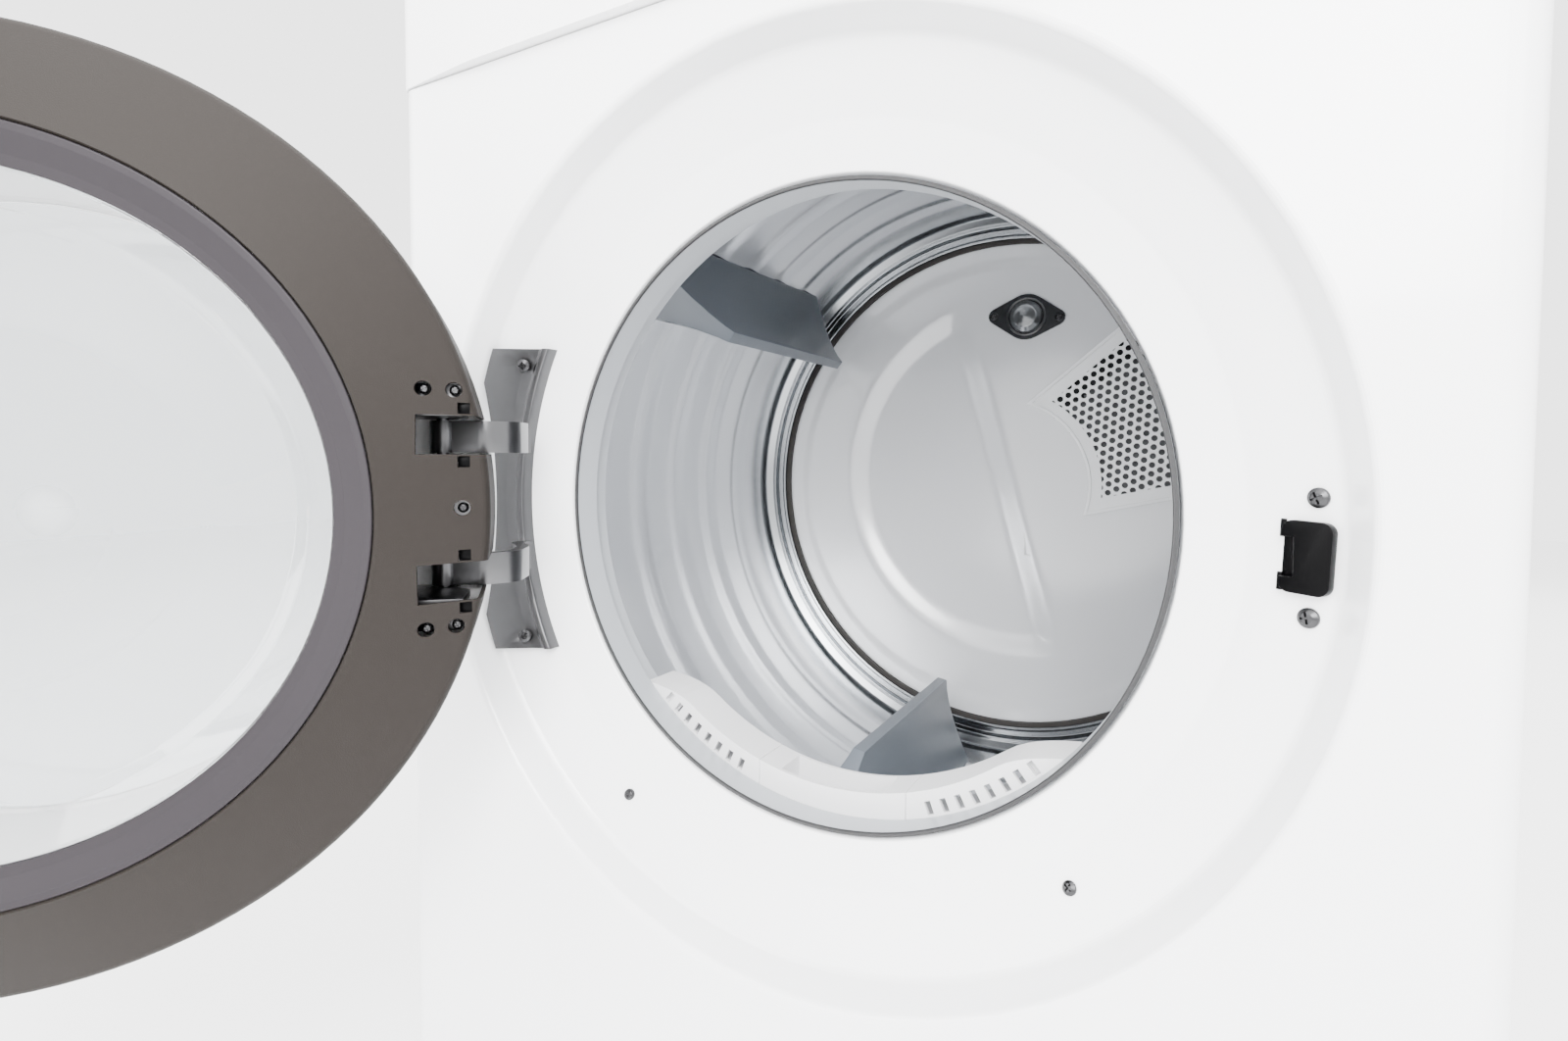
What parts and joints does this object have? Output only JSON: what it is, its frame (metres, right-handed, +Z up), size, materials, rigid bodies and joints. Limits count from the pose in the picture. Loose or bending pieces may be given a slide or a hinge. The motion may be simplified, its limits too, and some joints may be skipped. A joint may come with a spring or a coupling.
{
  "type": "clothes dryer",
  "caption": "Front-loading clothes dryer with its round glass door swung open on the left, showing the ribbed drum, baffles, filter lip and hot-air grille",
  "frame": {"origin": "centre of the four pedestal holes in the base pan's underside, level with the pan's lower face", "axes": "+X to the right seen from the front, +Y from the front to the back, +Z up"},
  "size_m": [0.95, 1.1808, 0.983],
  "materials": {
    "white_panel": "smooth white enamel",
    "white_plastic": "gloss white",
    "galvanised": "zinc coated sheet",
    "display_black": "gloss black",
    "board_green": "board",
    "grey_plastic": "satin light grey",
    "gasket_black": "soft dark rubber",
    "pale_plastic": "satin pale grey",
    "disc_white": "gloss pale grey enamel",
    "grille_white": "satin white",
    "lamp_grey": "satin grey",
    "lens_clear": "ribbed lens",
    "coil_dark": "dark heating wire on mica",
    "motor_grey": "painted casing",
    "steel": "bright zinc",
    "wheel_white": "plain",
    "roller_rubber": "rubber tread",
    "belt_rubber": "ribbed belt",
    "felt": "wool felt",
    "drum_steel": "bright steel",
    "baffle_blue": "blue grey plastic",
    "hinge_chrome": "polished",
    "door_taupe": "satin taupe",
    "ring_mauve": "satin grey",
    "bowl_glass": "clear",
    "window_glass": "tinted",
    "latch_black": "gloss black",
    "terminal_ivory": "plain",
    "button_silver": "satin silver",
    "foot_grey": "plain"
  },
  "bodies": {
    "cabinet": {"base_pan": "galvanised", "left_side_panel": "white_panel", "right_side_panel": "white_panel", "rear_panel": "galvanised", "top_panel": "white_panel", "front_panel": "white_panel", "control_fascia": "white_plastic", "display_window": "display_black", "control_board": "board_green", "front_bulkhead": "grey_plastic", "opening_collar": "grey_plastic", "rim_gasket": "gasket_black", "filter_housing": "pale_plastic", "rear_bulkhead": "disc_white", "inlet_grille": "grille_white", "lamp_flange": "lamp_grey", "lamp_lens": "lens_clear", "heater_housing": "galvanised", "heater_coil": "coil_dark", "blower_housing": "grey_plastic", "exhaust_duct": "galvanised", "motor_body": "motor_grey", "roller_shafts": "steel", "drive_belt": "belt_rubber", "felt_seals": "felt", "hinge_bracket": "hinge_chrome", "latch_cover": "latch_black", "panel_screws": "steel", "terminal_block": "terminal_ivory"},
    "drum": {"drum_shell": "drum_steel", "drum_rear_ring": "drum_steel", "baffle_1": "baffle_blue", "baffle_2": "baffle_blue", "baffle_3": "baffle_blue"},
    "door": {"hinge_pins": "hinge_chrome", "hinge_blocks": "hinge_chrome", "door_inner_frame": "door_taupe", "door_ring": "ring_mauve", "door_bowl": "bowl_glass", "door_outer_frame": "white_plastic", "door_trim_ring": "white_plastic", "door_window": "window_glass", "door_screws": "steel", "door_strike": "steel"},
    "motor_rotor": {"motor_rotor": "steel", "blower_wheel": "wheel_white"},
    "idler_arm": {"idler_arm": "steel"},
    "idler_pulley": {"idler_pulley": "wheel_white"},
    "lint_filter": {"lint_filter": "pale_plastic"},
    "control_knob": {"control_knob": "white_plastic"},
    "power_button": {"power_button": "button_silver"},
    "start_button": {"start_button": "button_silver"},
    "roller_front_left": {"roller_front_left": "roller_rubber"},
    "roller_front_right": {"roller_front_right": "roller_rubber"},
    "roller_rear_left": {"roller_rear_left": "roller_rubber"},
    "roller_rear_right": {"roller_rear_right": "roller_rubber"},
    "foot_front_left": {"foot_front_left": "foot_grey"},
    "foot_front_right": {"foot_front_right": "foot_grey"},
    "foot_rear_left": {"foot_rear_left": "foot_grey"},
    "foot_rear_right": {"foot_rear_right": "foot_grey"}
  },
  "joints": [
    {"name": "door_hinge", "type": "hinge", "parent": "cabinet", "child": "door", "pos_m": [-0.2376, -0.3939, 0.48], "axis": [0, 0, 1], "range_deg": [0, 135.7]},
    {"name": "drum_spin", "type": "hinge", "parent": "cabinet", "child": "drum", "pos_m": [0, 0, 0.48], "axis": [0, 1, 0], "continuous": true},
    {"name": "roller_front_left_spin", "type": "hinge", "parent": "cabinet", "child": "roller_front_left", "pos_m": [-0.20092, -0.215, 0.19305], "axis": [0, 1, 0], "continuous": true},
    {"name": "roller_front_right_spin", "type": "hinge", "parent": "cabinet", "child": "roller_front_right", "pos_m": [0.20092, -0.215, 0.19305], "axis": [0, 1, 0], "continuous": true},
    {"name": "roller_rear_left_spin", "type": "hinge", "parent": "cabinet", "child": "roller_rear_left", "pos_m": [-0.20092, 0.177, 0.19305], "axis": [0, 1, 0], "continuous": true},
    {"name": "roller_rear_right_spin", "type": "hinge", "parent": "cabinet", "child": "roller_rear_right", "pos_m": [0.20092, 0.177, 0.19305], "axis": [0, 1, 0], "continuous": true},
    {"name": "motor_spin", "type": "hinge", "parent": "cabinet", "child": "motor_rotor", "pos_m": [0.072, 0, 0.074], "axis": [0, 1, 0], "continuous": true},
    {"name": "idler_swing", "type": "hinge", "parent": "cabinet", "child": "idler_arm", "pos_m": [0.19, 0.038, 0.052], "axis": [0, 1, 0], "range_deg": [0, 8], "stiffness_Nm_per_rad": 4, "springref_deg": -11.46},
    {"name": "idler_spin", "type": "hinge", "parent": "idler_arm", "child": "idler_pulley", "pos_m": [0.14058, 0.05, 0.10627], "axis": [0, 1, 0], "continuous": true},
    {"name": "filter_lift", "type": "slide", "parent": "cabinet", "child": "lint_filter", "axis": [0, 0, 1], "range_m": [0, 0.2]},
    {"name": "knob_turn", "type": "hinge", "parent": "cabinet", "child": "control_knob", "pos_m": [-0.04, -0.37, 0.872], "axis": [0, -1, 0], "continuous": true},
    {"name": "power_press", "type": "slide", "parent": "cabinet", "child": "power_button", "axis": [0, 1, 0], "range_m": [0, 0.002], "stiffness_N_per_m": 600},
    {"name": "start_press", "type": "slide", "parent": "cabinet", "child": "start_button", "axis": [0, 1, 0], "range_m": [0, 0.002], "stiffness_N_per_m": 600},
    {"name": "foot_front_left_level", "type": "slide", "parent": "cabinet", "child": "foot_front_left", "axis": [0, 0, -1], "range_m": [0, 0.015]},
    {"name": "foot_front_right_level", "type": "slide", "parent": "cabinet", "child": "foot_front_right", "axis": [0, 0, -1], "range_m": [0, 0.015]},
    {"name": "foot_rear_left_level", "type": "slide", "parent": "cabinet", "child": "foot_rear_left", "axis": [0, 0, -1], "range_m": [0, 0.015]},
    {"name": "foot_rear_right_level", "type": "slide", "parent": "cabinet", "child": "foot_rear_right", "axis": [0, 0, -1], "range_m": [0, 0.015]}
  ],
  "couplings": [
    {"joint": "roller_front_left_spin", "follows": "drum_spin", "ratio": -11.963},
    {"joint": "roller_front_right_spin", "follows": "drum_spin", "ratio": -11.963},
    {"joint": "roller_rear_left_spin", "follows": "drum_spin", "ratio": -11.963},
    {"joint": "roller_rear_right_spin", "follows": "drum_spin", "ratio": -11.963},
    {"joint": "motor_spin", "follows": "drum_spin", "ratio": 27.083},
    {"joint": "idler_spin", "follows": "drum_spin", "ratio": -18.056}
  ]
}
